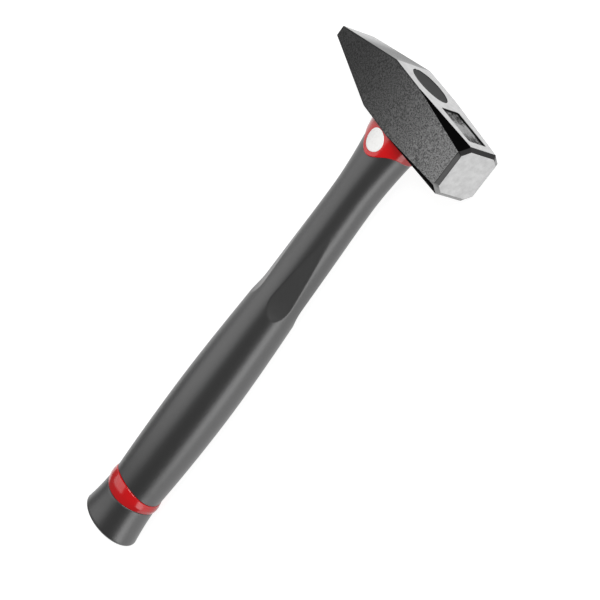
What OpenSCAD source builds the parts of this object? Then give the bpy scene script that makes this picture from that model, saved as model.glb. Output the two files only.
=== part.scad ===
// Cross-peen engineer's hammer: a forged steel head on a composite rod with a moulded handle.
// It lies on one cheek. +X points to the striking face, +Y along the handle to the head, +Z up.

/* [Head] */
// Side of the square striking end
face_size = 33; // [30:0.5:38]
// Length from the peen edge to the striking face
head_length = 130.5; // [120:0.5:145]
// Distance from the centre of the eye to the striking face
face_reach = 60.5; // [57:0.5:68]
// Distance from the centre of the eye to the start of the wedge
wedge_start = 19; // [18:0.5:26]
// Thickness of the peen edge
peen_edge = 6.9; // [5:0.1:9]
// Length of the peen edge, across the handle
peen_width = 25.5; // [22:0.5:30]
// Radius of the two corners of the peen edge
peen_radius = 0.6; // [0.4:0.1:2]
// Radius where the wedge meets the body
shoulder_radius = 3; // [1:0.5:8]
// Distance from the centre of the eye to where the corner facets run out
facet_start = 7.6; // [2:0.2:20]
// Height of a corner facet at the striking end
facet_height = 4.8; // [3:0.1:6]
// Width of a corner facet at the striking end
facet_width = 6.1; // [3:0.1:7]
// Length of the bevel round the striking face
bevel_length = 1.7; // [0.8:0.1:3]
// Distance that the bevel draws in the striking face
bevel_inset = 2.4; // [1:0.1:3.5]

/* [Eye and recess] */
// Length of the eye at the top and bottom of the head
eye_length = 31; // [27:0.5:33]
// Width of the eye at the top and bottom of the head
eye_width = 17.4; // [15:0.2:20]
// Distance that the eye draws in at its waist, on each side
eye_waist = 1.2; // [0:0.1:1.5]
// Depth of the resin below the top of the head
resin_sink = 0.2; // [0:0.1:1]
// Distance from the centre of the eye to the recess
recess_start = 22.2; // [19:0.2:26]
// Length of the recess
recess_length = 30.3; // [20:0.1:33]
// Width of the recess
recess_width = 14.1; // [10:0.1:18]
// Depth of the recess
recess_depth = 2; // [1:0.1:4]
// Radius of the corners of the recess
recess_radius = 0.8; // [0.3:0.1:3]

/* [Core] */
// Width of the composite rod, along the head
core_width = 18; // [14:0.5:20]
// Thickness of the composite rod
core_thickness = 11; // [8:0.5:12]
// Depth of resin over the top of the rod
resin_cover = 4; // [2:0.5:10]
// Length of the rod below the end of the jacket
core_tail = 22; // [12:0.5:24]

/* [Handle] */
// Length of the hammer, from the top of the head to the end of the butt
overall_length = 350.5; // [320:0.5:400]
// Offset of the handle from the centre of the eye, towards the striking face
handle_offset = 2.5; // [0:0.1:3.6]
// Height of the bow of the handle, which curves towards the striking face at mid length
handle_bow = 2; // [0:0.1:4]
// Width of the handle under the head
top_width = 40; // [36:0.1:43]
// Thickness of the handle under the head
top_thickness = 26.6; // [24:0.1:28]
// Sharpness of the flare under the head, where 2 is a parabola
flare_power = 1.7; // [1.4:0.1:3]
// Length from the head to the slimmest part of the neck
neck_length = 45.5; // [40:0.5:60]
// Width of the neck
neck_width = 29.6; // [26:0.1:33]
// Thickness of the neck
neck_thickness = 23.8; // [20:0.1:26]
// Width of the palm swell
swell_width = 41.6; // [38:0.1:46]
// Thickness of the palm swell
swell_thickness = 32.2; // [29:0.1:36]
// Length from the widest part of the palm swell to the ring
swell_fall = 66.5; // [50:0.5:90]
// Width of the handle at the ring
end_width = 38.3; // [35:0.1:41]
// Thickness of the handle at the ring
end_thickness = 30.2; // [27:0.1:33]

/* [Flats] */
// Direction of the normal of each flat, from the long side of the section
flat_angle = 50; // [42:1:56]
// Length from the slimmest part of the neck to the upper tip of the flats
flat_start = 24.5; // [10:0.5:40]
// Length of the flats, from the upper tip to the run-out
flat_length = 47.5; // [40:0.5:70]
// Depth of the flats where they run out
flat_depth = 1.6; // [0.5:0.05:2]
// Radius of the run-out at the lower end of the flats
runout_radius = 46; // [20:1:90]

/* [Collar and badge] */
// Height of the plain band of the collar
collar_height = 8; // [6:0.1:12]
// Distance that the tongues hang below the band
tongue_drop = 9.6; // [8:0.1:12]
// Half the width of a tongue where it leaves the band
tongue_reach = 18.5; // [15:0.5:18.5]
// Thickness of the collar inside the surface of the handle
collar_wall = 3; // [2.4:0.1:3.6]
// Distance that the collar stands proud of the handle
collar_proud = 0.7; // [0.3:0.1:1.2]
// Diameter of the badge
badge_diameter = 14; // [10:0.5:15]
// Distance from the head to the centre of the badge
badge_drop = 7.6; // [7.6:0.1:9]
// Thickness of the badge at its centre
badge_thickness = 2.4; // [1.8:0.1:2.8]
// Distance that the badge stands proud of the collar
badge_proud = 0.25; // [0.1:0.05:0.6]

/* [Butt] */
// Height of the ring on the broad sides of the handle
ring_height = 12.5; // [10:0.1:16]
// Distance that each edge of the ring draws in towards the narrow sides
ring_arch = 2.8; // [0:0.1:3.5]
// Thickness of the ring inside the surface of the handle
ring_wall = 3; // [2:0.1:4]
// Distance that the ring stands proud of the handle
ring_proud = 0.3; // [0.1:0.1:1]
// Length of the butt cap
cap_length = 27; // [24:0.5:40]
// Width of the flared butt
butt_width = 45; // [40:0.1:48]
// Thickness of the flared butt
butt_thickness = 33; // [31:0.1:36]
// Height of the rounded end of the butt
butt_round = 5.3; // [3:0.1:12]
// Squareness of the rounded end, where 2 is an ellipse
butt_squareness = 2; // [2:0.1:4]

// Radius of the edges of the jacket, ring and butt cap where they meet
edge_round = 0.6; // [0.2:0.1:1]

/* [Fit] */
// Bond line between pieces that are glued or moulded round each other
bond_gap = 0.1; // [0.05:0.05:0.2]

/* [Hidden] */

head_half = face_size / 2;
peen_x = face_reach - head_length;
bevel_x = face_reach - bevel_length;
handle_length = overall_length - face_size;
cap_top = handle_length - cap_length;
jacket_length = cap_top - ring_height;
// Length from the slimmest part of the neck to the widest part of the palm swell
swell_rise = jacket_length - neck_length - swell_fall;
butt_at = handle_length - butt_round;
flat_top = neck_length + flat_start;
flat_end = flat_top + flat_length;

// Points round a section of the handle, points round the eye, and points in a rounded corner
sides = 56;
eye_sides = 48;
corner_steps = 5;
// Spacing of the sections along the handle, and numbers of them down the flare and round the end
// of the butt
ring_step = 6.5;
flare_steps = 5;
round_steps = 7;
// Sections round a rounded edge, and steps and last angle of the run-out of a flat
edge_steps = 3;
runout_steps = 10;
runout_limit = 40;
// Last angle of the rounded end, which stops short of a point
round_limit = 84;
// Reach of a cut past the face that it opens
overcut = 1;
// Size of the inner end of an arched end face, which the bore for the core takes away
hollow = 0.2;

// Moves a piece from the centre of the eye to the centre of the box that the hammer lies in
module place() {
    lift = max(face_size, swell_thickness, butt_thickness) / 2;
    translate([head_length / 2 - face_reach, handle_length / 2, lift]) children();
}

// Solid through a list of rings of points that run from the head end to the butt end. A tube runs
// back through itself, so that its last ring joins the first one.
module loft(rings, tube = false) {
    n = len(rings[0]);
    count = len(rings);
    ends = tube ? [] : [[for (j = [0 : n - 1]) j], [for (j = [n - 1 : -1 : 0]) (count - 1) * n + j]];
    walls = [
        for (i = [0 : tube ? count - 1 : count - 2], j = [0 : n - 1])
            let (k = (j + 1) % n, next = (i + 1) % count)
            each [[i * n + j, next * n + j, i * n + k],
                  [i * n + k, next * n + j, next * n + k]]
    ];
    polyhedron([for (ring = rings) each ring], concat(ends, walls));
}

// Arc of radius r that rounds the corner p between its neighbours a and b
function corner_arc(a, p, b, r) =
    let (u = (a - p) / norm(a - p), v = (b - p) / norm(b - p),
         half = acos(u * v) / 2,
         centre = p + (u + v) / norm(u + v) * r / sin(half),
         from = p + u * r / tan(half) - centre,
         to = p + v * r / tan(half) - centre,
         turn = cross(from, to) > 0 ? 180 - 2 * half : 2 * half - 180)
    [for (i = [0 : corner_steps])
        let (t = turn * i / corner_steps)
        centre + [from.x * cos(t) - from.y * sin(t), from.x * sin(t) + from.y * cos(t)]];

// Outline whose corners [x, y, radius] are rounded
function rounded(corners) =
    let (n = len(corners), xy = [for (c = corners) [c.x, c.y]])
    [for (i = [0 : n - 1])
        each corners[i].z > 0
            ? corner_arc(xy[(i + n - 1) % n], xy[i], xy[(i + 1) % n], corners[i].z)
            : [xy[i]]];

// Everything on the far side of the plane through p, q and r, whose order turns about its normal
module beyond(p, q, r) {
    normal = cross(q - p, r - p) / norm(cross(q - p, r - p));
    reach = 2 * head_length;
    translate(p)
        rotate([0, acos(normal.z), atan2(normal.y, normal.x)])
            translate([-reach / 2, -reach / 2, 0]) cube(reach);
}

// Half the thickness of the head between its tapered cheeks
function cheek_at(x) =
    peen_width / 2 + (head_half - peen_width / 2) * (x - peen_x) / (bevel_x - peen_x);

// Side view of the head: the square body and the wedge of the peen
module head_profile() {
    half_edge = peen_edge / 2;
    polygon(rounded([
        [face_reach, -head_half, 0],
        [face_reach, head_half, 0],
        [-wedge_start, head_half, shoulder_radius],
        [peen_x, half_edge, peen_radius],
        [peen_x, -half_edge, peen_radius],
        [-wedge_start, -head_half, shoulder_radius]
    ]));
}

// Cuts at one corner of the striking end: the tapered facet and the bevels beside it
module corner_cuts() {
    top = [bevel_x, head_half, head_half - facet_width];
    side = [bevel_x, head_half - facet_height, head_half];
    inward = [bevel_length, -bevel_inset, 0];
    beyond([facet_start, head_half, cheek_at(facet_start)], side, top);
    beyond(top, top + inward, [bevel_x, head_half, 0]);
    beyond(side, [bevel_x, 0, head_half], side + [inward.x, 0, inward.y]);
    across = [0, -facet_width, -facet_height] / norm([facet_width, facet_height]);
    beyond(top, side, side + [bevel_length, across.y * bevel_inset, across.z * bevel_inset]);
}

// Ring of points round the eye at height y, drawn in by gap
function eye_ring(y, gap) =
    let (draw = eye_waist * (1 - pow(y / head_half, 2)) + gap)
    [for (i = [0 : eye_sides - 1])
        let (t = 360 * i / eye_sides)
        [(eye_length / 2 - draw) * cos(t), y, (eye_width / 2 - draw) * sin(t)]];

// Filling of the eye from height top down to height bottom
module eye_plug(top, bottom, gap) {
    steps = 4;
    loft([for (i = [0 : steps]) eye_ring(top + (bottom - top) * i / steps, gap)]);
}

// Shallow forged recess between the eye and the striking face
module recess() {
    half = recess_width / 2;
    far = recess_start + recess_length;
    translate([0, head_half + overcut, 0])
        rotate([90, 0, 0])
            linear_extrude(recess_depth + overcut)
                polygon(rounded([
                    [recess_start, -half, recess_radius],
                    [far, -half, recess_radius],
                    [far, half, recess_radius],
                    [recess_start, half, recess_radius]
                ]));
}

module hammer_head() {
    color("#4d4e50") place() difference() {
        translate([0, 0, -head_half]) linear_extrude(face_size) head_profile();
        for (flip_z = [0, 1]) mirror([0, 0, flip_z]) {
            beyond([bevel_x, 0, head_half], [bevel_x, head_half, head_half],
                   [peen_x, 0, peen_width / 2]);
            for (flip_y = [0, 1]) mirror([0, flip_y, 0]) corner_cuts();
        }
        eye_plug(head_half + overcut, -head_half - overcut, 0);
        recess();
    }
}

// Rod of stadium section from height top down to height bottom, grown by gap
module rod(top, bottom, gap) {
    width = core_width + 2 * gap;
    thickness = core_thickness + 2 * gap;
    straight = width - thickness;
    translate([handle_offset, top, 0])
        rotate([90, 0, 0])
            linear_extrude(top - bottom) {
                square([straight, thickness], center = true);
                for (side = [-1, 1]) translate([side * straight / 2, 0]) circle(d = thickness, $fn = 64);
            }
}

core_top = head_half - resin_cover;
core_bottom = -head_half - jacket_length - core_tail;

module eye_resin() {
    color("#4b4c4e") place() difference() {
        eye_plug(head_half - resin_sink, -head_half, bond_gap);
        rod(core_top + bond_gap, -head_half - overcut, bond_gap);
    }
}

module handle_core() {
    color("#8a8f6a") place() rod(core_top, core_bottom, 0);
}

function ease(u) = u * u * (3 - 2 * u);

// One half-dimension of the handle at distance d below the head, from its values down the handle
function outline(d, top, neck, swell, end, butt) =
    d < neck_length ? neck + (top - neck) * pow(1 - d / neck_length, flare_power) :
    d < neck_length + swell_rise ? neck + (swell - neck) * ease((d - neck_length) / swell_rise) :
    d < jacket_length ? swell + (end - swell) * pow(1 - (jacket_length - d) / swell_fall, 2) :
    end + (butt - end) * pow((min(d, butt_at) - jacket_length) / (butt_at - jacket_length), 2);

function half_width(d) =
    outline(d, top_width, neck_width, swell_width, end_width, butt_width) / 2;
function half_thickness(d) =
    outline(d, top_thickness, neck_thickness, swell_thickness, end_thickness, butt_thickness) / 2;

// Distance from the axis to the plane that touches the oval section square to a flat
function oval_reach(d) =
    norm([half_width(d) * cos(flat_angle), half_thickness(d) * sin(flat_angle)]);

// Distance from the axis to the surface in direction t, grown by gap
function skin_radius(d, t, gap) =
    1 / norm([cos(t) / (half_width(d) + gap), sin(t) / (half_thickness(d) + gap)]);

// Bowed axis of the handle at distance d below the head
function axis_x(d) =
    let (u = d / handle_length)
    handle_offset + handle_bow * 4 * u * (1 - u);

// Side view of the cut for a flat in direction t: it dips under the oval, then curves out again
function flat_profile(t) =
    let (from = [cos(t) * axis_x(flat_top) + oval_reach(flat_top), -head_half - flat_top],
         to = [cos(t) * axis_x(flat_end) + oval_reach(flat_end) - flat_depth, -head_half - flat_end],
         along = (to - from) / norm(to - from), out = [-along.y, along.x],
         runout = [for (i = [0 : runout_steps])
             let (a = runout_limit * i / runout_steps)
             to + runout_radius * (along * sin(a) + out * (1 - cos(a)))],
         clear = max(from.x, runout[runout_steps].x) + swell_width)
    concat([[clear, from.y], from], runout, [[clear, runout[runout_steps].y]]);

// Cuts for the four flats below the neck
module flat_cuts() {
    for (t = [flat_angle, 180 - flat_angle, 180 + flat_angle, 360 - flat_angle])
        rotate([0, -t, 0])
            translate([0, 0, -swell_width])
                linear_extrude(2 * swell_width) polygon(flat_profile(t));
}

// Ring of points round the handle at distance d below the head, grown by gap and shrunk towards the
// axis. An arch moves it down the handle towards the narrow sides, or up if it is negative.
function handle_ring(d, gap, arch = 0, shrink = 1) =
    [for (i = [0 : sides - 1])
        let (t = 360 * i / sides,
             x = skin_radius(d, t, gap) * shrink * cos(t),
             low = d + arch * pow(x / (end_width / 2), 2),
             r = skin_radius(low, t, gap) * shrink)
        [axis_x(low) + r * cos(t), -head_half - low, r * sin(t)]];

// Rings of the rounded edge at distance d, whose end faces away from way
function edge_rings(d, way, gap, arch) =
    [for (i = [0 : edge_steps - 1])
        let (t = 90 * (way > 0 ? i : edge_steps - 1 - i) / edge_steps)
        handle_ring(d + way * edge_round * (1 - cos(t)), gap - edge_round * (1 - sin(t)), arch)];

// Rings from distance top to distance bottom below the head, with an arch that changes on the way
function run_rings(top, bottom, gap, top_arch = 0, bottom_arch = 0) =
    let (steps = ceil((bottom - top) / ring_step))
    [for (i = [0 : steps])
        let (u = i / steps)
        handle_ring(top + (bottom - top) * u, gap, top_arch + (bottom_arch - top_arch) * u)];

// Plain length of the handle from distance top to distance bottom below the head, grown by gap
module handle_run(top, bottom, gap) {
    loft(run_rings(top, bottom, gap));
}

// Distance from the head to the lower edge of the collar, at x from the handle axis
function collar_edge(x) =
    collar_height + tongue_drop * (1 + cos(180 * min(1, abs(x) / tongue_reach))) / 2;

// Everything between the head and the lower edge of the collar, moved down by gap
module collar_zone(gap) {
    reach = max(top_width, swell_width);
    edge_steps = 48;
    translate([axis_x(badge_drop), -head_half, -reach])
        linear_extrude(2 * reach)
            polygon([
                [reach, overcut],
                [-reach, overcut],
                [-reach, -collar_height - gap],
                for (i = [0 : edge_steps])
                    let (x = tongue_reach * (2 * i / edge_steps - 1))
                    [x, -collar_edge(x) - gap],
                [reach, -collar_height - gap]
            ]);
}

tongue_end = collar_height + tongue_drop;

// Core of the neck that the collar sleeves over
module collar_spigot(gap) {
    handle_run(-overcut, tongue_end + overcut, gap - collar_wall);
}

module handle_jacket() {
    color("#55565a") place() difference() {
        loft(concat(run_rings(0, jacket_length - edge_round, 0, 0, ring_arch),
                    edge_rings(jacket_length, -1, 0, ring_arch),
                    [for (shrink = [1, hollow]) handle_ring(jacket_length, -ring_wall, ring_arch, shrink)]));
        flat_cuts();
        difference() {
            collar_zone(bond_gap);
            collar_spigot(0);
        }
        rod(-head_half + overcut, -head_half - jacket_length - ring_arch - overcut, bond_gap);
    }
}

// Height of the collar's surface over the badge, and the floor of the badge's pocket
badge_crown = half_thickness(badge_drop) + collar_proud;
pocket_floor = badge_crown + badge_proud - badge_thickness;

// Round of the badge from height bottom upwards, grown by gap
module badge_round(bottom, gap) {
    translate([axis_x(badge_drop), -head_half - badge_drop, bottom])
        cylinder(d = badge_diameter + 2 * gap, h = badge_crown, $fn = 64);
}

module head_collar() {
    color("#b80f14") place() difference() {
        intersection() {
            collar_zone(0);
            handle_run(0, tongue_end + overcut, collar_proud);
        }
        collar_spigot(bond_gap);
        badge_round(pocket_floor - bond_gap, bond_gap);
    }
}

module badge() {
    color("#f1f0ec") place() intersection() {
        badge_round(pocket_floor, 0);
        handle_run(0, tongue_end + overcut, collar_proud + badge_proud);
    }
}

module butt_ring() {
    top = jacket_length + bond_gap;
    bottom = cap_top - bond_gap;
    bore = run_rings(top, bottom, bond_gap - ring_wall, ring_arch, -ring_arch);
    color("#b80f14") place()
        loft(concat(edge_rings(top, 1, ring_proud, ring_arch),
                    run_rings(top + edge_round, bottom - edge_round, ring_proud, ring_arch, -ring_arch),
                    edge_rings(bottom, -1, ring_proud, -ring_arch),
                    [for (i = [len(bore) - 1 : -1 : 0]) bore[i]]),
             tube = true);
}

module butt_cap() {
    top = jacket_length + bond_gap;
    flare_top = cap_top + edge_round;
    flare = [for (i = [0 : flare_steps])
        let (u = i / flare_steps)
        handle_ring(flare_top + (butt_at - flare_top) * u, 0, ring_arch * (u - 1))];
    dome = [for (i = [1 : round_steps])
        let (t = round_limit * i / round_steps, shrink = pow(cos(t), 2 / butt_squareness),
             rise = pow(sin(t) / sin(round_limit), 2 / butt_squareness))
        handle_ring(butt_at + butt_round * rise, 0, 0, shrink)];
    color("#55565a") place() difference() {
        loft(concat([handle_ring(top, -ring_wall, ring_arch, hollow)],
                    run_rings(top, cap_top, -ring_wall, ring_arch, -ring_arch),
                    edge_rings(cap_top, 1, 0, -ring_arch), flare, dome));
        rod(-head_half - jacket_length + overcut, core_bottom - bond_gap, bond_gap);
    }
}

hammer_head();
eye_resin();
handle_core();
handle_jacket();
head_collar();
badge();
butt_ring();
butt_cap();
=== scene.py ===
"""Cross-peen engineer's hammer, dressed over its solids and lit as for a catalogue photograph."""
from functools import partial
from math import atan2, cos, hypot, pi, radians, sin, sqrt

import bmesh
import bpy
from mathutils import Matrix, Vector


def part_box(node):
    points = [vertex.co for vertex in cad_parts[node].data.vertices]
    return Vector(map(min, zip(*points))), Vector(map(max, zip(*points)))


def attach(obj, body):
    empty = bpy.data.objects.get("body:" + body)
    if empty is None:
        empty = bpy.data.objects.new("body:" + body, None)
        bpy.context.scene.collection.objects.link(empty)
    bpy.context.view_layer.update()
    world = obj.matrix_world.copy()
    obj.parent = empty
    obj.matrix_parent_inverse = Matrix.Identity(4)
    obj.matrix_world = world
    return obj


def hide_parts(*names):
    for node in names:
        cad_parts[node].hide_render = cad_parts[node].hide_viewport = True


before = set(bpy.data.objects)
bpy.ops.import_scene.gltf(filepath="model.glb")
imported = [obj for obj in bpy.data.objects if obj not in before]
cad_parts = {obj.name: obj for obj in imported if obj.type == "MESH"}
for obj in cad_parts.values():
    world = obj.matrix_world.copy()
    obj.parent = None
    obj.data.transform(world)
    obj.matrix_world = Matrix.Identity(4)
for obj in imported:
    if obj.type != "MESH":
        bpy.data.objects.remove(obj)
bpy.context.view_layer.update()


# Core: a straight pultruded rod of glass fibre in resin, of stadium section. It runs from the eye
# through the whole grip, and nothing of it shows on the finished hammer, so its solid stays.
millimetre = 0.001


class Tone:
    """A value in a finish: arithmetic on it adds Math nodes, and node() adds any other node."""

    def __init__(self, tree, socket=None):
        self.tree = tree
        self.socket = socket

    def node(self, kind, inputs=None, output=0, **settings):
        """One output of a new node, with its settings and the values or links of its sockets."""
        made = self.tree.nodes.new("ShaderNode" + kind)
        for name, value in settings.items():
            setattr(made, name, value)
        for key, value in (inputs or {}).items():
            if isinstance(value, Tone):
                self.tree.links.new(value.socket, made.inputs[key])
            else:
                made.inputs[key].default_value = value
        return Tone(self.tree, made.outputs[output])

    def math(self, operation, *values):
        return self.node("Math", dict(enumerate(values)), operation=operation)

    def __add__(self, other):
        return self.math("ADD", self, other)

    def __sub__(self, other):
        return self.math("SUBTRACT", self, other)

    def __rsub__(self, other):
        return self.math("SUBTRACT", other, self)

    def __mul__(self, other):
        return self.math("MULTIPLY", self, other)

    __radd__ = __add__
    __rmul__ = __mul__

    def __neg__(self):
        return self * -1

    def __abs__(self):
        return self.math("ABSOLUTE", self)

    def at_least(self, other):
        return self.math("MAXIMUM", self, other)

    def at_most(self, other):
        return self.math("MINIMUM", self, other)

    def step(self, low, high):
        """0 below low and 1 above high, with a smooth rise between them."""
        return self.node("MapRange", {"Value": self, "From Min": low, "From Max": high},
                         interpolation_type="SMOOTHSTEP")

    def between(self, first, second):
        """Colour that goes from first to second as this value goes from 0 to 1."""
        return self.node("Mix", {0: self, 6: first, 7: second}, output=2, data_type="RGBA")

    def noise(self, scale, detail, roughness=0.5):
        """Noise over this place, with scale cells to the millimetre."""
        return self.node("TexNoise", {"Vector": self, "Scale": scale, "Detail": detail,
                                      "Roughness": roughness})

    def into(self, shader, name):
        self.tree.links.new(self.socket, shader.inputs[name])

    def raised(self, shader, strength, depth):
        """Makes this value the height of the surface, with its depth in millimetres."""
        bump = self.node("Bump", {"Height": self, "Strength": strength, "Distance": millimetre * depth})
        bump.into(shader, "Normal")


def grey(level):
    """Neutral colour of a level from 0 to 255 as seen."""
    linear = ((level / 255 + 0.055) / 1.055) ** 2.4
    return (linear, linear, linear, 1)


def new_finish(name, constants=None):
    """Material, its shader with these constants, and the object's coordinates in millimetres."""
    material = bpy.data.materials.new(name)
    material.use_nodes = True
    tree = material.node_tree
    shader = tree.nodes["Principled BSDF"]
    for socket, value in (constants or {}).items():
        shader.inputs[socket].default_value = value
    place = Tone(tree).node("TexCoord", output="Object")
    place = place.node("Mapping", {"Vector": place, "Scale": (1 / millimetre,) * 3})
    return material, shader, place


fibre_dark, fibre_pale = (0.20, 0.21, 0.12, 1), (0.36, 0.37, 0.24, 1)
fibre, shader, place = new_finish("pultruded_fibre")
strands = place.node("Mapping", {"Vector": place, "Scale": (1.6, 0.02, 1.6)}).noise(scale=1, detail=5)
strands.step(0.3, 0.7).between(fibre_dark, fibre_pale).into(shader, "Base Color")
(0.45 + 0.2 * strands).into(shader, "Roughness")
strands.raised(shader, strength=0.3, depth=0.1)
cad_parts["handle_core"].data.materials.clear()
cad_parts["handle_core"].data.materials.append(fibre)


# Jacket: a satin dark grey grip, moulded round the core. It flares under the head, draws in to a slim
# neck with four leaf-shaped flats below it, swells for the palm and draws in again to the ring.
# All sizes are in millimetres from the centre of the eye, and d is the distance below the head.
head_half, face_reach = 16.5, 60.5
head_low, head_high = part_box("hammer_head")
eye = Vector((head_high.x - millimetre * face_reach, head_high.y - millimetre * head_half,
              (head_low.z + head_high.z) / 2))
neck_at, swell_at, jacket_end = 45.5, 211.5, 278.0
ring_end, butt_at, handle_end = 290.5, 312.2, 317.5
flare_power = 1.7


def measure(d, top, neck, swell, end, butt):
    """One half-size of the handle at distance d, from its full sizes down the handle."""
    if d < neck_at:
        return (neck + (top - neck) * (1 - max(d, 0) / neck_at) ** flare_power) / 2
    if d < swell_at:
        u = (d - neck_at) / (swell_at - neck_at)
        return (neck + (swell - neck) * u * u * (3 - 2 * u)) / 2
    if d < jacket_end:
        return (swell + (end - swell) * ((d - swell_at) / (jacket_end - swell_at)) ** 2) / 2
    return (end + (butt - end) * ((min(d, butt_at) - jacket_end) / (butt_at - jacket_end)) ** 2) / 2


end_width = 38.3
widths = (40, 29.6, 41.6, end_width, 45)
thicknesses = (26.6, 23.8, 32.2, 30.2, 33)


def half_sizes(d):
    """Half the width and half the thickness of the handle at distance d."""
    return measure(d, *widths), measure(d, *thicknesses)


handle_offset, handle_bow = 2.5, 2


def axis_x(d):
    """Bowed axis of the handle."""
    u = d / handle_end
    return handle_offset + 4 * handle_bow * u * (1 - u)


flat_angle = radians(50)
flat_top, flat_end, flat_depth, flat_soft = 70.0, 117.5, 1.6, 0.3
runout_radius, runout_limit = 46.0, 25.0


def flat_reach(d, across):
    """Distance from the axis to a flat whose normal leans across by that much, run out on an arc."""
    def touch(at):
        width, thickness = half_sizes(at)
        return hypot(width * cos(flat_angle), thickness * sin(flat_angle)) + across * axis_x(at)
    start, end = touch(flat_top), touch(flat_end) - flat_depth
    reach = start + (end - start) * (d - flat_top) / (flat_end - flat_top)
    past_end = max(0.0, d - flat_end)
    rise = runout_radius - sqrt(max(runout_radius ** 2 - past_end ** 2, 0))
    return reach + rise - across * axis_x(d)


def on_oval(d, angle, grow):
    """Distance from the axis to the oval section at distance d, grown outwards."""
    width, thickness = half_sizes(d)
    return 1 / hypot(cos(angle) / (width + grow), sin(angle) / (thickness + grow))


def on_handle(d, angle, grow=0.0, arch=0.0, shrink=1.0, flats=False):
    """Point of the handle's surface at distance d, grown outwards or shrunk towards the axis.

    An arch moves it down the handle towards the narrow sides.
    """
    d += arch * (2 * on_oval(d, angle, grow) * cos(angle) / end_width) ** 2
    radius = on_oval(d, angle, grow)
    if flats and flat_top < d < flat_end + runout_limit:
        across = cos(flat_angle) if cos(angle) > 0 else -cos(flat_angle)
        lean = abs(cos(angle)) * cos(flat_angle) + abs(sin(angle)) * sin(flat_angle)
        flat = flat_reach(d, across) / lean
        blend = min(max(0.5 + (flat - radius) / flat_soft, 0), 1)
        radius = flat + (radius - flat) * blend - flat_soft / 2 * blend * (1 - blend)
    radius *= shrink
    return Vector((axis_x(d) + radius * cos(angle), -head_half - d, radius * sin(angle)))


core_straight, core_radius, bond = 3.5, 5.5, 0.1


def in_bore(d, angle):
    """Point at distance d of the straight bore that takes the core."""
    round_end = core_radius + bond
    c, s = cos(angle), sin(angle)
    if abs(s) * core_straight >= abs(c) * round_end:
        reach = round_end / abs(s)
    else:
        reach = abs(c) * core_straight + sqrt(round_end ** 2 - (core_straight * s) ** 2)
    return Vector((handle_offset + reach * c, -head_half - d, reach * s))


edge_round, edge_steps = 0.6, 5


def rounded_edge(d, way, radius, grow=0.0):
    """Steps (d, grow) round an edge, from its end face to the outer surface."""
    turns = [pi / 2 * i / edge_steps for i in range(edge_steps + 1)]
    return [(d + way * radius * (1 - cos(t)), grow - radius * (1 - sin(t))) for t in turns]


handle_sides = 240


def turned_wall(lines, segments=handle_sides):
    """Tube with a ring of points for each line, which is a function that puts a point at an angle."""
    rows = len(lines)
    bm = bmesh.new()
    bmesh.ops.create_cone(bm, segments=segments, radius1=1, radius2=1, depth=rows - 1)
    upright = [e for e in bm.edges if abs(e.verts[0].co.z - e.verts[1].co.z) > 0.5]
    bmesh.ops.subdivide_edges(bm, edges=upright, cuts=rows - 2)
    for v in bm.verts:
        line = lines[round((rows - 1) / 2 - v.co.z)]
        v.co = line(atan2(v.co.y, v.co.x))
    return bm


def open_edges(bm):
    return [e for e in bm.edges if e.is_boundary]


weld_distance, sharp_turn = 0.0005, radians(40)


def add_piece(bm, name, node, finishes):
    """Tidies the mesh, moves it from the eye to the part's frame and lets it stand for its node."""
    bmesh.ops.remove_doubles(bm, verts=bm.verts, dist=weld_distance)
    bmesh.ops.recalc_face_normals(bm, faces=bm.faces)
    bmesh.ops.scale(bm, vec=(millimetre,) * 3, verts=bm.verts)
    bmesh.ops.translate(bm, vec=eye, verts=bm.verts)
    mesh = bpy.data.meshes.new(name)
    bm.to_mesh(mesh)
    bm.free()
    mesh.shade_smooth()
    mesh.set_sharp_from_angle(angle=sharp_turn)
    for finish in finishes:
        mesh.materials.append(finish)
    piece = bpy.data.objects.new(name, mesh)
    bpy.context.scene.collection.objects.link(piece)
    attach(piece, "root")
    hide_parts(node)
    return piece


collar_height, collar_wall, tongue_drop, tongue_reach = 8, 3.0, 9.6, 18.5
trial_at, trial_grow = 10, 0.4


def collar_edge(x):
    """Lower edge of the collar, with its tongue, at x from the handle's axis."""
    return collar_height + tongue_drop * (1 + cos(pi * min(1, abs(x) / tongue_reach))) / 2


def edge_at(angle):
    """Lower edge of the collar in one direction round the handle, found by a trial."""
    near = on_handle(trial_at, angle, trial_grow).x - axis_x(trial_at)
    return collar_edge(on_handle(collar_edge(near), angle, trial_grow).x - axis_x(collar_height))


def evenly(start, step, count):
    return [start + step * i for i in range(count)]


# The rows of the grip lie closest together over the flats.
ring_arch, ring_wall = 2.8, 3.0
grip_rows = evenly(8.4, 2.4, 23) + evenly(63.6, 0.6, 140) + evenly(147.6, 2.6, 50) + [277.2]
jacket_lip = rounded_edge(jacket_end, -1, edge_round)[::-1] + [(jacket_end, -ring_wall)]


def spigot_end(angle):
    return on_handle(edge_at(angle) + bond, angle, -collar_wall)


def grip_line(row, angle):
    """The first row follows the edge of the collar, and the last the arch of the ring."""
    edge = edge_at(angle) + bond
    share = (row - grip_rows[0]) / (grip_rows[-1] - grip_rows[0])
    return on_handle(edge + share * (grip_rows[-1] - edge), angle, 0, ring_arch * share, flats=True)


jacket_lines = [partial(in_bore, jacket_end), partial(in_bore, 0)]
jacket_lines += [partial(on_handle, 0, grow=-collar_wall), spigot_end]
jacket_lines += [partial(grip_line, row) for row in grip_rows]
jacket_lines += [partial(on_handle, d, grow=grow, arch=ring_arch) for d, grow in jacket_lip]
bm = turned_wall(jacket_lines)
bmesh.ops.bridge_loops(bm, edges=open_edges(bm))

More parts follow.
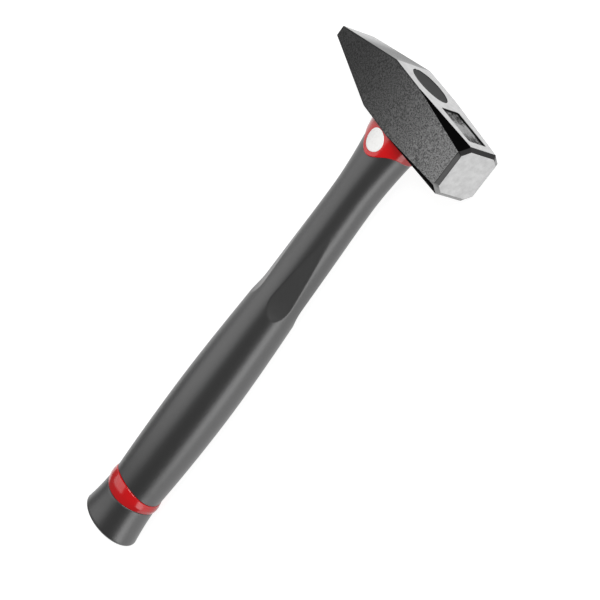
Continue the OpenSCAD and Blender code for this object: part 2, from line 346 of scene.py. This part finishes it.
satin, shader, place = new_finish("satin_grip", {"IOR": 2.0})
grain = place.noise(scale=2.2, detail=3)
place.noise(scale=0.05, detail=2).between(grey(30), grey(36)).into(shader, "Base Color")
(0.32 + 0.08 * grain).into(shader, "Roughness")
grain.raised(shader, strength=0.08, depth=0.2)
add_piece(bm, "grip_jacket", "handle_jacket", [satin])


# Ring: a glossy red moulded band, slipped over the spigot of the butt cap and bonded there. It is
# widest on the broad sides, and its edges are rounded, so a fine dark line parts it from the grip.
ring_top, ring_low = jacket_end + bond, ring_end - bond
ring_proud, ring_crown, crown_steps = 0.3, 0.55, 10
crown_top, crown_low = ring_top + edge_round, ring_low - edge_round
ring_outline = [(ring_top, bond - ring_wall)] + rounded_edge(ring_top, 1, edge_round, ring_proud)
for i in range(1, crown_steps):
    share = i / crown_steps
    d = crown_top + (crown_low - crown_top) * share
    ring_outline.append((d, ring_proud + ring_crown * sin(pi * share)))
ring_outline += rounded_edge(ring_low, -1, edge_round, ring_proud)[::-1] + [(ring_low, bond - ring_wall)]


def ring_line(d, grow):
    """Line whose arch goes over from the upper edge's to the lower edge's, which faces away."""
    middle = (ring_top + ring_low) / 2
    arch = ring_arch * min(max((middle - d) / (middle - crown_top), -1), 1)
    return partial(on_handle, d, grow=grow, arch=arch)


bm = turned_wall([ring_line(d, grow) for d, grow in ring_outline])
bmesh.ops.bridge_loops(bm, edges=open_edges(bm))

red_deep, red_light = (0.57, 0.001, 0.003, 1), (0.63, 0.002, 0.005, 1)
glossy_red, shader, place = new_finish("glossy_red", {"Specular IOR Level": 0.0, "Coat Weight": 1.0,
                                                      "Coat IOR": 1.65, "Coat Roughness": 0.17})
mottle = place.noise(scale=0.12, detail=3)
mottle.between(red_deep, red_light).into(shader, "Base Color")
(0.2 + 0.1 * mottle).into(shader, "Roughness")
place.noise(scale=0.8, detail=1).raised(shader, strength=0.05, depth=0.2)
add_piece(bm, "butt_band", "butt_ring", [glossy_red])


# Butt cap: the flared end of the grip, moulded in the same satin plastic and closed by a flat dome.
# Its spigot goes through the ring, and the core ends in its bore.
core_tail, flare_steps = 22, 14
dome_turn, dome_steps = radians(84), 26
flare_top = ring_end + edge_round
cap_lines = [partial(in_bore, jacket_end + core_tail + bond), partial(in_bore, jacket_end + bond)]
cap_lines += [partial(on_handle, jacket_end + bond, grow=-ring_wall, arch=ring_arch)]
cap_lines += [partial(on_handle, ring_end, grow=-ring_wall, arch=-ring_arch)]
cap_lines += [partial(on_handle, d, grow=grow, arch=-ring_arch)
              for d, grow in rounded_edge(ring_end, 1, edge_round)]
for i in range(1, flare_steps + 1):
    share = i / flare_steps
    d = flare_top + (butt_at - flare_top) * share
    cap_lines.append(partial(on_handle, d, arch=ring_arch * (share - 1)))
for i in range(1, dome_steps + 1):
    turn = dome_turn * i / dome_steps
    d = butt_at + (handle_end - butt_at) * sin(turn) / sin(dome_turn)
    cap_lines.append(partial(on_handle, d, shrink=cos(turn)))
bm = turned_wall(cap_lines)
bmesh.ops.holes_fill(bm, edges=open_edges(bm))
add_piece(bm, "butt_end", "butt_cap", [satin])


# Collar: a glossy red moulded sleeve on the neck under the head, with a rounded tongue down each
# side. It stands a little proud of the grip, and its lower edge is well rounded.
collar_proud, collar_round, collar_bevel, collar_steps = 0.7, 0.65, 0.25, 14


def collar_line(share, angle):
    """Line of the outer wall, from the bevel under the head to the start of the lip."""
    length = edge_at(angle) - collar_bevel - collar_round
    return on_handle(collar_bevel + length * share, angle, collar_proud)


def collar_lip(step, angle):
    d, grow = rounded_edge(edge_at(angle), -1, collar_round, collar_proud)[step]
    return on_handle(d, angle, grow)


def collar_foot(angle):
    return on_handle(edge_at(angle), angle, bond - collar_wall)


collar_lines = [partial(on_handle, 0, grow=collar_proud - collar_bevel)]
collar_lines += [partial(collar_line, i / collar_steps) for i in range(collar_steps)]
collar_lines += [partial(collar_lip, step) for step in reversed(range(edge_steps + 1))]
collar_lines += [collar_foot, partial(on_handle, 0, grow=bond - collar_wall)]
bm = turned_wall(collar_lines)
bmesh.ops.bridge_loops(bm, edges=open_edges(bm))
add_piece(bm, "red_collar", "head_collar", [glossy_red])


# Badge: a plain white disc with a rounded rim, let into the tongue of the collar on one side and
# bonded there. It follows the curve of the tongue.
badge_drop, badge_radius, badge_rim, badge_sides = 7.6, 7.0, 0.45, 96
badge_proud, badge_thickness = 0.25, 2.4
badge_face = collar_proud + badge_proud
badge_floor = half_sizes(badge_drop)[1] + badge_face - badge_thickness
face_radii, rim_turns = evenly(0.5, 0.65, 10), (0.0, 0.4, 0.8, 1.2, pi / 2)
badge_outline = [(radius, badge_face) for radius in face_radii]
badge_outline += [(badge_radius - badge_rim * (1 - sin(t)), badge_face - badge_rim * (1 - cos(t)))
                  for t in rim_turns]


def on_badge(radius, proud, angle):
    """Point of the disc, as proud of the handle as that, or on the flat floor of its pocket."""
    x, d = radius * cos(angle), badge_drop + radius * sin(angle)
    height = badge_floor
    if proud is not None:
        width, thickness = half_sizes(d)
        height = (thickness + proud) * sqrt(1 - (x / (width + proud)) ** 2)
    return Vector((axis_x(badge_drop) + x, -head_half - d, height))


badge_lines = [partial(on_badge, radius, proud) for radius, proud in badge_outline]
badge_lines += [partial(on_badge, badge_radius, None)]
bm = turned_wall(badge_lines, badge_sides)
bmesh.ops.holes_fill(bm, edges=open_edges(bm))

white_low, white_high = (0.91, 0.905, 0.89, 1), (0.94, 0.935, 0.925, 1)
white_disc, shader, place = new_finish("white_disc")
mottle = place.noise(scale=0.5, detail=4)
mottle.between(white_low, white_high).into(shader, "Base Color")
(0.22 + 0.12 * mottle).into(shader, "Roughness")
mottle.raised(shader, strength=0.04, depth=0.2)
add_piece(bm, "white_badge", "badge", [white_disc])


# Head: a steel forging with a square face at one end and a wedge peen at the other. The cheeks keep
# their forged skin under dark lacquer, and the top, the slopes and the face are ground bright.
head_length, wedge_start, peen_edge, peen_width = 130.5, 19, 6.9, 25.5
bevel_length, bevel_inset = 1.7, 2.4
facet_start, facet_height, facet_width = 7.6, 4.8, 6.1
peen_x, bevel_x = face_reach - head_length, face_reach - bevel_length
wedge_run, wedge_rise = -wedge_start - peen_x, head_half - peen_edge / 2
cheek_run, cheek_rise = bevel_x - peen_x, head_half - peen_width / 2
bm = bmesh.new()
bmesh.ops.create_cube(bm, size=1)
bmesh.ops.scale(bm, vec=(head_length, 2 * head_half, 2 * head_half), verts=bm.verts)
bmesh.ops.translate(bm, vec=(face_reach - head_length / 2, 0, 0), verts=bm.verts)


def grind(point, normal):
    """Takes off what stands beyond a plane, and closes the cut."""
    cut = bmesh.ops.bisect_plane(bm, geom=bm.verts[:] + bm.edges[:] + bm.faces[:], plane_co=point,
                                 plane_no=normal, clear_outer=True)
    edges = [e for e in cut["geom_cut"] if isinstance(e, bmesh.types.BMEdge)]
    bmesh.ops.holes_fill(bm, edges=edges)


half_at_tip = peen_width / 2 + cheek_rise * (facet_start - peen_x) / cheek_run
facet_tip = Vector((facet_start, head_half, half_at_tip))
facet_top = Vector((bevel_x, head_half, head_half - facet_width))
facet_side = Vector((bevel_x, head_half - facet_height, head_half))
facet_normal = (facet_side - facet_tip).cross(facet_top - facet_tip)
facet_slant = hypot(facet_width, facet_height)
corner_normal = Vector((bevel_inset, bevel_length * facet_width / facet_slant,
                        bevel_length * facet_height / facet_slant))
for y in (-1, 1):
    grind((peen_x, y * peen_edge / 2, 0), (-wedge_rise, y * wedge_run, 0))
for z in (-1, 1):
    grind((bevel_x, 0, z * head_half), (-cheek_rise, 0, z * cheek_run))
for y in (-1, 1):
    for z in (-1, 1):
        corner = Vector((1, y, z))
        grind(facet_tip * corner, facet_normal * corner)
        grind(facet_top * corner, corner_normal * corner)
for turn in (-1, 1):
    grind((bevel_x, turn * head_half, 0), (bevel_inset, turn * bevel_length, 0))
    grind((bevel_x, 0, turn * head_half), (bevel_inset, 0, turn * bevel_length))

# The eye is an oval hole, drawn in at its waist so that the resin cannot pull through.
eye_half_length, eye_half_width, eye_waist, eye_sides = 15.5, 8.7, 1.2, 96
eye_levels = [head_half * (3 - i) / 3 for i in range(7)]
lying = Matrix.Rotation(radians(-90), 4, "X")


def eye_draw(level):
    return eye_waist * (1 - (level / head_half) ** 2)


eye_rims = []
for level in eye_levels:
    size = (eye_half_length - eye_draw(level), 1, eye_half_width - eye_draw(level))
    rim = bmesh.ops.create_circle(bm, segments=eye_sides, radius=1, matrix=lying)["verts"]
    bmesh.ops.scale(bm, vec=size, verts=rim)
    bmesh.ops.translate(bm, vec=(0, level, 0), verts=rim)
    eye_rims.append(list(dict.fromkeys(e for v in rim for e in v.link_edges)))
for upper, lower in zip(eye_rims, eye_rims[1:]):
    bmesh.ops.bridge_loops(bm, edges=upper + lower)

# The recess beside it is a shallow forged pocket with nearly square corners.
recess_start, recess_length, recess_width, recess_depth, recess_radius = 22.2, 30.3, 14.1, 2, 0.8
near, square_on = 0.1, 0.99
pocket = bmesh.ops.create_grid(bm, x_segments=1, y_segments=1, size=0.5, matrix=lying)["verts"]
bmesh.ops.scale(bm, vec=(recess_length, 1, recess_width), verts=pocket)
bmesh.ops.translate(bm, vec=(recess_start + recess_length / 2, head_half, 0), verts=pocket)
bmesh.ops.bevel(bm, geom=pocket, offset=recess_radius, segments=4, profile=0.5, affect="VERTICES",
                material=-1)
mouth = [f for f in bm.faces if f.calc_center_median().y > head_half - near]
mouth = min(mouth, key=lambda f: f.calc_area())
pocket_rim = list(mouth.edges)
sunk = bmesh.ops.extrude_face_region(bm, geom=[mouth])["geom"]
sunk = [g for g in sunk if isinstance(g, bmesh.types.BMVert)]
bmesh.ops.translate(bm, vec=(0, -recess_depth, 0), verts=sunk)
bmesh.ops.delete(bm, geom=[mouth], context="FACES_ONLY")

# The flat top and underside are filled round these openings.
for level, openings in ((head_half, eye_rims[0] + pocket_rim), (-head_half, eye_rims[-1])):
    flat = [f for f in bm.faces if abs(f.normal.y) > square_on]
    flat = [f for f in flat if abs(f.calc_center_median().y - level) < near]
    flat = max(flat, key=lambda f: f.calc_area())
    outline = list(flat.edges)
    bmesh.ops.delete(bm, geom=[flat], context="FACES_ONLY")
    bmesh.ops.triangle_fill(bm, use_beauty=True, use_dissolve=False, edges=outline + openings)
bmesh.ops.holes_fill(bm, edges=open_edges(bm))
bmesh.ops.recalc_face_normals(bm, faces=bm.faces)


def in_recess(point):
    along = recess_start - near < point.x < recess_start + recess_length + near
    deep = head_half - recess_depth - near < point.y < head_half - near
    return along and deep and abs(point.z) < recess_width / 2 + near


pebbled, black, bevelled, ground, sloped, forged = range(6)
sloping = 0.95
for f in bm.faces:
    centre, normal = f.calc_center_median(), f.normal
    if in_recess(centre):
        f.material_index = forged
    elif abs(normal.z) > square_on:
        f.material_index = pebbled
    elif centre.x > bevel_x and normal.x < square_on:
        f.material_index = bevelled
    elif max(abs(normal.x), abs(normal.y)) > square_on:
        f.material_index = ground
    elif abs(normal.y) > sloping:
        f.material_index = sloped
    else:
        f.material_index = black

# Each edge is broken by its share of the widest round. The lower rim of the eye stays sharp, and the
# corners of the recess are round already.
widest_round, least_turn, rim_reach = 0.8, radians(9), 1.05
plain_share, peen_share, floor_share, eye_share = 0.45, 0.75, 0.9, 0.3
softness = bm.edges.layers.float.new("bevel_weight_edge")
for e in bm.edges:
    if e.calc_face_angle(0) < least_turn:
        continue
    middle = (e.verts[0].co + e.verts[1].co) / 2
    at_eye = hypot(middle.x / eye_half_length, middle.z / eye_half_width) < rim_reach
    e[softness] = plain_share
    if middle.x < peen_x + near and abs(middle.y) > peen_edge / 2 - near:
        e[softness] = peen_share
    elif all(f.material_index == forged for f in e.link_faces):
        e[softness] = floor_share if middle.y < head_half - recess_depth + near else 0
    elif at_eye and abs(middle.y) > head_half - near:
        e[softness] = eye_share if middle.y > 0 else 0


def from_eye(place, *axes):
    """Place from the centre of the eye, and its coordinates along these axes."""
    place = place.node("VectorMath", {0: place, 1: -eye / millimetre}, operation="ADD")
    return place, *(place.node("SeparateXYZ", {0: place}, output=axis) for axis in axes)


# The lacquer on the cheeks is pebbled and dark along the ground edges. It grows paler towards the face,
# which is painted light, and its pebbles carry painted glints as well as their own speckle.
painted_light_start, painted_light_rate = -62, 0.0083
lacquer, shader, place = new_finish("pebbled_lacquer", {"Specular IOR Level": 0.35})
place, x, y = from_eye(place, "X", "Y")
pebble = place.noise(scale=1.1, detail=2, roughness=0.7).step(0.3, 0.7)
half_height = head_half + wedge_rise / wedge_run * (x + wedge_start).at_most(0)
# Painted light: a ramp in the colour that makes the cheek paler towards the face.
painted_light = painted_light_rate * (x - painted_light_start)
shade = (0.1 + 0.75 * painted_light * painted_light) * (0.25 + 1.4 * pebble) * (half_height - abs(y)).step(-0.2, 1.3)
shade.between(grey(12), grey(138)).into(shader, "Base Color")
(0.6 - 0.25 * pebble).into(shader, "Roughness")
pebble.raised(shader, strength=0.5, depth=0.4)

# The corner facets are flat black.
black_lacquer, shader, place = new_finish("black_lacquer", {"Specular IOR Level": 0.02})
drift = place.noise(scale=0.3, detail=4)
drift.between(grey(1), grey(4)).into(shader, "Base Color")
(0.85 + 0.12 * drift).into(shader, "Roughness")
drift.raised(shader, strength=0.05, depth=0.3)

# The lacquer on the bevels round the face is dark. It is made pale on the lower and far sides by painted
# reflection, and a little lighter on the near one by a painted sheen.
bevel_lacquer, shader, place = new_finish("bevel_lacquer", {"Specular IOR Level": 0.28})
place, y, z = from_eye(place, "Y", "Z")
drift = place.noise(scale=0.5, detail=4)
# Painted reflection on the lower and far sides, and a painted sheen on the near side.
painted_sheen = 0.11 * z.step(11, 13.5) * (1 - y.step(8, 12))
painted_reflection = (-y).step(9.5, 13).at_least((-z).step(10, 13)) + painted_sheen
(painted_reflection * (0.8 + 0.4 * drift)).between(grey(14), grey(170)).into(shader, "Base Color")
(0.06 + 0.08 * drift).into(shader, "Roughness")
drift.raised(shader, strength=0.05, depth=0.3)

# The top, the underside, the face and the peen edge are ground, with fine scratches.
bright_steel, shader, place = new_finish("ground_steel", {"Metallic": 1.0})
scratch = place.node("Mapping", {"Vector": place, "Scale": (0.5, 6.0, 3.0), "Rotation": (0, 0, 0.3)})
scratch = scratch.noise(scale=1, detail=6, roughness=0.65)
blotch = place.noise(scale=0.3, detail=4)
(0.5 * scratch + 0.5 * blotch).step(0.25, 0.75).between(grey(175), grey(205)).into(shader, "Base Color")
(0.26 + 0.2 * scratch).into(shader, "Roughness")
scratch.raised(shader, strength=0.12, depth=0.1)

# The slopes of the peen are blasted and mottled. Their painted reflection makes them brightest at the
# edge and dullest past the middle.
blasted_steel, shader, place = new_finish("blasted_slope", {"Metallic": 1.0})
place, x = from_eye(place, "X")
mottle = place.noise(scale=0.9, detail=4, roughness=0.7).step(0.25, 0.75)
# Painted reflection: a bright rise at the edge and a dim band past the middle of the slope.
painted_dimming = 0.12 * (x.step(-52, -40) - x.step(-30, -20))
shade = 0.3 + 0.35 * mottle + 0.45 * (1 - x.step(-68, -42)) - painted_dimming
shade.step(0.1, 1.2).between(grey(70), grey(200)).into(shader, "Base Color")
(0.3 + 0.25 * mottle).into(shader, "Roughness")
mottle.raised(shader, strength=0.2, depth=0.3)

# The recess keeps its black forged skin, with bare patches, most of them in the middle of the floor.
forged_skin, shader, place = new_finish("forged_skin", {"Specular IOR Level": 0.2})
place, x, y = from_eye(place, "X", "Y")
scale = place.noise(scale=0.8, detail=4, roughness=0.75)
centred = x.step(28, 35) - x.step(39, 45)
bare = (scale + 0.22 * centred).step(0.38, 0.75) * (1 - y.step(14.8, 15.6))
bare.between(grey(10), grey(160)).into(shader, "Base Color")
(0.62 - 0.2 * scale).into(shader, "Roughness")
scale.raised(shader, strength=0.6, depth=0.5)

head = add_piece(bm, "forged_head", "hammer_head",
                 [lacquer, black_lacquer, bevel_lacquer, bright_steel, blasted_steel, forged_skin])
edges = head.modifiers.new("broken edges", "BEVEL")
edges.limit_method = "WEIGHT"
edges.width = millimetre * widest_round
edges.segments = 3
edges.profile = 0.5
edges.use_clamp_overlap = False
edges.material = -1
flats = head.modifiers.new("flat faces", "WEIGHTED_NORMAL")
flats.weight = 100
flats.keep_sharp = True


# Resin: the dark grey casting resin that was poured into the eye round the core. It has set just
# below the top of the head, with a faint dish in the middle.
resin_top, core_top = 16.3, 12.5
dish_depth, dish_power, dish_rows, dish_margin = 0.12, 6, 8, 0.2


def in_eye(share, level, angle):
    """Point at a level of the eye, at that share of the way from its middle to its wall."""
    draw = eye_draw(level) + bond
    return Vector((share * (eye_half_length - draw) * cos(angle), level,
                   share * (eye_half_width - draw) * sin(angle)))


resin_lines = []
for row in range(dish_rows):
    share = (row + 0.5) / (dish_rows + dish_margin)
    resin_lines.append(partial(in_eye, share, resin_top - dish_depth * (1 - share ** dish_power)))
resin_lines += [partial(in_eye, 1, level) for level in [resin_top] + eye_levels[1:]]
resin_lines += [partial(in_bore, 0), partial(in_bore, -head_half - core_top - bond)]
bm = turned_wall(resin_lines, eye_sides)
bmesh.ops.holes_fill(bm, edges=open_edges(bm))

cast_resin, shader, place = new_finish("cast_resin", {"Specular IOR Level": 0.12})
speck = place.noise(scale=1.6, detail=4)
speck.step(0.3, 0.75).between(grey(38), grey(46)).into(shader, "Base Color")
(0.5 + 0.15 * speck).into(shader, "Roughness")
speck.raised(shader, strength=0.15, depth=0.2)
add_piece(bm, "eye_filling", "eye_resin", [cast_resin])


# Floor: a seamless pale sheet that the hammer lies on. It shows white to the camera and in what
# mirrors it, gives no light of its own to the hammer's dull surfaces, and keeps the shadow.
sheet_half, sheet_drop = 30, 0.0003
sheet = bpy.data.meshes.new("floor")
bm = bmesh.new()
bmesh.ops.create_grid(bm, x_segments=1, y_segments=1, size=sheet_half)
bmesh.ops.translate(bm, vec=(0, 0, -sheet_drop), verts=bm.verts)
bm.to_mesh(sheet)
bm.free()
floor = bpy.data.objects.new("floor", sheet)
bpy.context.scene.collection.objects.link(floor)
paper, shader, place = new_finish("white_paper", {"Base Color": (0.3, 0.3, 0.3, 1), "Roughness": 1.0,
                                                  "Specular IOR Level": 0.0, "Emission Strength": 1.0})
seen = place.node("LightPath", output="Is Camera Ray")
mirrored = place.node("LightPath", output="Is Glossy Ray")
through = place.node("LightPath", output="Is Transmission Ray")
shown = seen.at_least(mirrored).at_least(through)
shown.between((0, 0, 0, 1), (0.9, 0.9, 0.9, 1)).into(shader, "Emission Color")
sheet.materials.append(paper)


# Light: a long soft lamp over the peen side with a small low one for the neck below it, a low one
# beside the striking face, a broad one beyond the head to fill the shadows, and a dim even room.
def add_lamp(name, place, towards, size, power):
    lamp = bpy.data.lights.new(name, "AREA")
    lamp.shape = "RECTANGLE"
    lamp.size, lamp.size_y = size
    lamp.energy = power
    holder = bpy.data.objects.new(name, lamp)
    holder.location = place
    holder.rotation_euler = (Vector(towards) - Vector(place)).to_track_quat("-Z", "Y").to_euler()
    bpy.context.scene.collection.objects.link(holder)


add_lamp("peen side", place=(-0.503, -0.37, 0.746), towards=(0, -0.37, 0), size=(0.58, 0.85), power=1.8)
add_lamp("neck", place=(-0.85, -0.24, 0.26), towards=(0, -0.24, 0.26), size=(0.32, 0.46), power=0.32)
add_lamp("face side", place=(1.05, -0.42, 0.34), towards=(0, -0.42, 0.34), size=(1.0, 0.62), power=4.4)
add_lamp("fill", place=(0.3, 1.0, 0.8), towards=(0, 0, 0), size=(0.9, 0.9), power=16.0)
room = bpy.data.worlds.new("room")
bpy.context.scene.world = room
room.use_nodes = True
room.node_tree.nodes["Background"].inputs["Color"].default_value = (1, 1, 1, 1)
room.node_tree.nodes["Background"].inputs["Strength"].default_value = 0.16

# Camera: above the striking face and behind the head, as in the photograph.
lens = bpy.data.cameras.new("camera")
lens.sensor_width = 36
lens.lens = 120
camera = bpy.data.objects.new("camera", lens)
right, up, back = (0.4459, 0.5514, -0.7051), (-0.6618, 0.7335, 0.1551), (0.6027, 0.3974, 0.692)
camera.matrix_world = Matrix((right, up, back)).transposed().to_4x4()
camera.location = (0.71945, 0.48895, 0.8163)
bpy.context.scene.collection.objects.link(camera)
bpy.context.scene.camera = camera
bpy.context.scene.view_settings.view_transform = "Standard"
